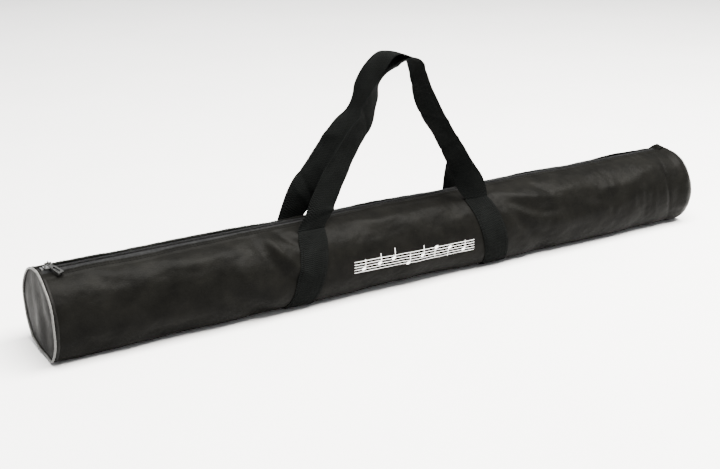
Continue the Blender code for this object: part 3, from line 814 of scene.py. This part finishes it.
APEX_Y = 0.0010


def curve_through(points, steps):
    """Points on a smooth Catmull-Rom curve through the given points."""
    padded = np.concatenate([[points[0] * 2 - points[1]], points,
                             [points[-1] * 2 - points[-2]]])
    result = []
    for p0, p1, p2, p3 in zip(padded, padded[1:], padded[2:], padded[3:]):
        for t in np.arange(steps) / steps:
            result.append(0.5 * (2 * p1 + (p2 - p0) * t + (2 * p0 - 5 * p1 + 4 * p2 - p3) * t ** 2
                                 + (3 * p1 - p0 - 3 * p2 + p3) * t ** 3))
    result.append(points[-1])
    return np.array(result)


def unit(vectors):
    return vectors / np.linalg.norm(vectors, axis=-1, keepdims=True)


def strap_end(word, which, columns):
    """Middle of the webbing at the handle's foot: points and outward directions."""
    x, angle, inner, _ = strap_grid(word, which, columns)
    x, angle, inner = x[-1], angle[-1], inner[-1]
    middle = around(x, angle, inner + WEBBING_THICKNESS / 2)
    return middle, around(0.0 * x, angle, 1.0) - (0, 0, AXIS_HEIGHT)


# Creases across the handles: distance along, slant, width and depth, lengths in mm.
HANDLE_FOLDS = {
    "front": [(12, 0.50, 2.6, -1.5), (21, 0.30, 4.0, 1.3), (150, -0.6, 4.0, -1.0),
              (238, 0.5, 4.0, 1.0), (290, 0.7, 3.5, -1.2), (352, -0.5, 3.0, -1.3),
              (396, 0.4, 3.0, -1.2)],
    "rear": [(30, -0.5, 3.5, 1.2), (44, -0.6, 3.0, -1.5), (118, 0.4, 5.0, 0.9),
             (262, 0.5, 4.0, -1.0), (330, -0.4, 4.0, -1.0)],
}


def handle_folds(word, along, spread):
    total = 0.0 * along * spread
    for place, slant, width, depth in HANDLE_FOLDS[word]:
        off = (along * 1000.0 - place - slant * spread * 1000.0) / width
        total = total + depth / 1000.0 * np.exp(-off ** 2)
    return total


def build_handle(word, skins):
    """An upright webbing loop that leans in over the bag's middle."""
    side = -1.0 if word == "front" else 1.0
    columns = 13
    foot_y = side * FOOT_RADIUS * cos(radians(FOOT_ANGLE))
    foot_z = AXIS_HEIGHT + FOOT_RADIUS * sin(radians(FOOT_ANGLE))
    route = curve_through(np.array(ROUTES[word], float), 14)
    x, height, twist = route.T
    share = height / APEX_HEIGHT[word]
    y = foot_y + (side * APEX_Y - foot_y) * share
    centre = np.stack([x, y, foot_z + 0.0003 + height], -1)
    run = unit(np.gradient(centre, axis=0))
    front = np.tile([0.0, -1.0, 0.0], (len(x), 1))
    face = unit(front - run * (front * run).sum(1, keepdims=True))
    across = np.cross(run, face)
    turn = np.radians(twist)[:, None]
    wide = across * np.cos(turn) + face * np.sin(turn)
    thick = face * np.cos(turn) - across * np.sin(turn)

    steps = np.linalg.norm(np.diff(centre, axis=0), axis=1)
    travelled = np.concatenate([[0.0], np.cumsum(steps)])
    spread = np.linspace(-0.5, 0.5, columns) * WEBBING_WIDTH
    cup = 0.0006 * np.cos(spread / WEBBING_WIDTH * pi)
    wave = 0.0005 * small_dents(travelled[:, None], spread[None, :])
    wave = wave + handle_folds(word, travelled[:, None], spread[None, :])
    middle = (centre[:, None, :] + wide[:, None, :] * spread[None, :, None]
              + thick[:, None, :] * (cup[None, :] + wave)[..., None])
    outward = np.repeat(thick[:, None, :], columns, axis=1)

    # Both ends run into the sewn straps.
    for index, which, flip in ((0, "left", 1), (-1, "right", -1)):
        end_points, end_out = strap_end(word, which, columns)
        end_points, end_out = end_points[::flip], end_out[::flip]
        if word == "rear":
            end_out = -end_out
        near = travelled if index == 0 else travelled[-1] - travelled
        hold = 1.0 - smoothstep(near, 0.0, 0.026)[:, None, None]
        middle = middle + (end_points - middle[index])[None] * hold
        bend = 1.0 - smoothstep(near, 0.0, 0.014)[:, None, None]
        outward = outward + (end_out - outward[index])[None] * bend
    outward = unit(outward)
    edge = 1.0 - SELVEDGE_THINNING * np.abs(spread / (WEBBING_WIDTH / 2))[None, :, None] ** 10
    half = outward * (WEBBING_THICKNESS / 2) * edge
    uv = np.stack(np.broadcast_arrays(travelled[:, None], spread[None, :]), -1)
    made = slab(f"{word}_handle_webbing", middle - half, middle + half, skins["webbing"], uv)
    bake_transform(made)
    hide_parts(f"{word}_handle_loop")


# Zip

def tape_points(x, side, share, drop):
    """Points of the tape from beside the coil (share 0) to under the fabric (share 1)."""
    near, far = 0.0022, fabric_reach(x, side) + 0.0030
    across = near + (far - near) * share
    y = zip_y(x) + side * across
    under_skin = skin_radius(x, zip_angle(x) + 7.0 * side) - 0.0023
    arch = AXIS_HEIGHT + np.sqrt(under_skin ** 2 - y ** 2)
    z = zip_z(x) + (arch - zip_z(x)) * smoothstep(share, 0.0, 0.75)
    ripple = 0.00020 * np.sin(x / 0.0045 + 3.0 * np.sin(x / 0.031)) * share
    return np.stack([x + 0.0 * y, y, z + ripple - drop], -1), across


def build_zip(word, skins):
    side = -1 if word == "front" else 1
    xs = np.linspace(*TAPE_X, 520)[:, None]
    share = np.linspace(0.0, 1.0, 9)[None, :]
    outer, across = tape_points(xs, side, share, 0.0)
    inner, _ = tape_points(xs, side, share, TAPE_THICKNESS)
    uv = np.stack(np.broadcast_arrays(xs, across), -1)
    if side > 0:
        outer, inner, uv = outer[:, ::-1], inner[:, ::-1], uv[:, ::-1]
    made = slab(f"{word}_tape", outer[:, ::-1], inner[:, ::-1], skins["tape"], uv[:, ::-1])
    follow_flap(made, word)
    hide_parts(f"{word}_zip_tape", f"{word}_zip_end_left", f"{word}_zip_end_right")

    # The coil: one long spiral of thick thread, and the stitches that hold it down.
    turns = int(COIL_RUN / COIL_PITCH)
    turn = np.linspace(0.0, 2.0 * pi * turns, turns * 10 + 1)
    phase = 0.0 if side < 0 else pi
    x = COIL_START + COIL_PITCH * turn / (2.0 * pi)
    y = zip_y(x) + side * (0.0014 - 0.0016 * np.cos(turn + phase))
    z = zip_z(x) + 0.0003 + 0.0008 * np.sin(turn + phase)
    path = np.stack([x, y, z], -1)
    run = unit(np.gradient(path, axis=0))
    along = np.tile([1.0, 0.0, 0.0], (len(x), 1))
    sideways = unit(along - run * (along * run).sum(1, keepdims=True))
    made = tube(f"{word}_coil", path, sideways, np.cross(run, sideways), COIL_THREAD,
                COIL_THREAD, skins["coil"], False, 6)
    follow_flap(made, word)
    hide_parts(f"{word}_zip_coil")

    xs = np.linspace(-0.480, 0.480, 1200)
    path = np.stack([xs, zip_y(xs) + side * 0.0038, zip_z(xs) + 0.0004], -1)
    up = np.tile([0.0, 0.0, 1.0], (len(xs), 1))
    made = stitches(f"{word}_coil_stitches", [stitch_line(path, up, 0.0018, 0.0009)],
                    skins["thread"], 0.00026)
    follow_flap(made, word)


def build_end_tab(skins):
    """A folded scrap of cloth sewn over the right end of the zip; it sticks up in a pinch."""
    x = np.linspace(TAB_START, TAB_START + TAB_LENGTH, 26)[:, None]
    across = np.linspace(-0.0110, 0.0110, 19)[None, :]
    y = zip_y(x) + across
    share = (x - TAB_START) / TAB_LENGTH
    pinch = np.exp(-((share - 0.40) / 0.30) ** 2) * np.exp(-((across / 0.0085) ** 2))
    over_skin = AXIS_HEIGHT + np.sqrt(skin_radius(x, zip_angle(x) + 3.0) ** 2 - y ** 2) + 0.0012
    over_zip = zip_z(x) - 0.0062 * share ** 2 + 0.0014 - 18.0 * across ** 2
    roof = np.maximum(over_skin, over_zip)
    tuck = 1.0 - smoothstep(share, 0.0, 0.30)
    z = roof + 0.0042 * pinch * (1.0 - tuck) - 0.0040 * tuck + 0.0003 * np.sin(y / 0.0012)
    grid_x, y, z = np.broadcast_arrays(x, y, z)
    outer = np.stack([grid_x, y, z], -1)
    inner = outer - np.array([0.0, 0.0, 0.0012])
    uv = np.stack([grid_x, y], -1)
    made = slab("zip_end_cover", outer[:, ::-1], inner[:, ::-1], skins["nylon"], uv[:, ::-1])
    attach(made, "root")
    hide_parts("zip_end_tab_right")


# Print

def build_print(skins):
    """Generic decoration: five ruled lines and a few round notes, with no lettering."""
    spacing = 0.0036
    slope = -0.020
    points, faces = [], []

    def print_point(x, s):
        angle = np.degrees(s / RADIUS)
        return skin_point(x, angle, 0.00038)

    def add_patch(grid_x, grid_s):
        first = len(points)
        grid = print_point(grid_x, grid_s)
        points.extend(grid.reshape(-1, 3).tolist())
        faces.extend(grid_faces(*grid_x.shape, False, False, first))

    def line_s(x, row):
        return slope * (x + 0.10) + spacing * row

    for row in range(-2, 3):
        x = np.repeat(np.linspace(-0.104, 0.086, 140)[:, None], 2, axis=1)
        s = line_s(x, row) + np.array([[0.00030, -0.00030]])
        add_patch(x, s)
    notes = [(-0.090, -1, 1), (-0.066, 0, 1), (-0.045, 1, 1), (-0.022, -2, 1), (0.000, 0, 1),
             (0.023, 2, -1), (0.045, 1, -1), (0.068, -1, 1)]
    for x0, row, up in notes:
        s0 = float(line_s(x0, row))
        share = np.linspace(0.02, 1.0, 6)[:, None]
        turn = np.linspace(0.0, -2.0 * pi, 25)[None, :]
        a, b, tilt = 0.0029, 0.0021, radians(22.0)
        px = share * a * np.cos(turn)
        ps = share * b * np.sin(turn)
        add_patch(x0 + px * cos(tilt) - ps * sin(tilt), s0 + px * sin(tilt) + ps * cos(tilt))
        stem = np.linspace(0.0, 0.0128 * up, 9)[:, None]
        edge = np.array([[0.00032, -0.00032]]) * up
        add_patch(x0 + up * 0.0026 + edge + 0.0 * stem, s0 + stem + 0.0 * edge)
    made = make_mesh("front_print", points, faces, skins["print"])
    follow_flap(made, "front")


# The CAD's metal pieces keep their shape and get a worn metal finish.

def dress_metal(skins):
    for name in ("slider_body", "pull_ring", "pull_tab", "zip_stop_left"):
        node = bpy.data.objects.get(name)
        node.data.materials.clear()
        node.data.materials.append(skins["metal"])


# Floor, lights and camera

FLOOR_HALF_SIZE = 14.0
WORLD_BRIGHTNESS = 0.85


def build_stage(skins):
    size = FLOOR_HALF_SIZE
    floor = make_mesh("floor", [(-size, -size, 0), (size, -size, 0), (size, size, 0),
                                (-size, size, 0)], [(0, 1, 2, 3)], skins["floor"])

    world = bpy.data.worlds.new("studio")
    world.use_nodes = True
    background = world.node_tree.nodes["Background"]
    background.inputs["Color"].default_value = (1.0, 1.0, 1.0, 1.0)
    background.inputs["Strength"].default_value = WORLD_BRIGHTNESS
    bpy.context.scene.world = world

    add_light("key", (0.66, -0.6, 2.4), (0.66, -0.05, 0.1), (3.2, 1.7), 830.0,
              (1.0, 0.975, 0.93))
    add_light("overhead", (-0.8, 0.6, 2.9), (0.0, 0.0, 0.0), (2.4, 2.0), 60.0, (1.0, 1.0, 1.0))
    add_light("back", (0.6, 2.6, 1.8), (0.0, 0.0, 0.1), (2.0, 2.0), 45.0, (1.0, 1.0, 1.0))


def add_light(name, place, target, size, power, colour):
    lamp = bpy.data.lights.new(name, "AREA")
    lamp.shape = "RECTANGLE"
    lamp.size, lamp.size_y = size
    lamp.energy = power
    lamp.color = colour
    made = bpy.data.objects.new(name, lamp)
    bpy.context.scene.collection.objects.link(made)
    aim = Vector(target) - Vector(place)
    made.matrix_world = (Matrix.Translation(place)
                         @ aim.to_track_quat("-Z", "Y").to_matrix().to_4x4())


CAMERA_PLACE = (-0.82060, -1.21666, 0.55782)
CAMERA_TURN = 32.0
CAMERA_LIFT = 18.9
CAMERA_LENS = 57.5


def build_camera():
    turn, lift = radians(CAMERA_TURN), radians(CAMERA_LIFT)
    back = Vector((-sin(turn) * cos(lift), -cos(turn) * cos(lift), sin(lift)))
    lens = bpy.data.cameras.new("camera")
    lens.sensor_width = 36.0
    lens.lens = CAMERA_LENS
    camera = bpy.data.objects.new("camera", lens)
    bpy.context.scene.collection.objects.link(camera)
    camera.matrix_world = (Matrix.Translation(CAMERA_PLACE)
                           @ (-back).to_track_quat("-Z", "Y").to_matrix().to_4x4())
    bpy.context.scene.camera = camera


def build_all():
    skins = make_materials()
    for word in ("front", "rear"):
        build_skin(word, skins)
        build_zip(word, skins)
        for which in STRAPS:
            build_strap(word, which, skins)
        build_handle(word, skins)
    for word, side in (("left", -1), ("right", 1)):
        build_disc(word, side, skins)
        build_piping(word, side, skins)
        build_binding(word, side, skins)
    build_end_tab(skins)
    build_print(skins)
    dress_metal(skins)
    build_stage(skins)
    build_camera()


build_all()
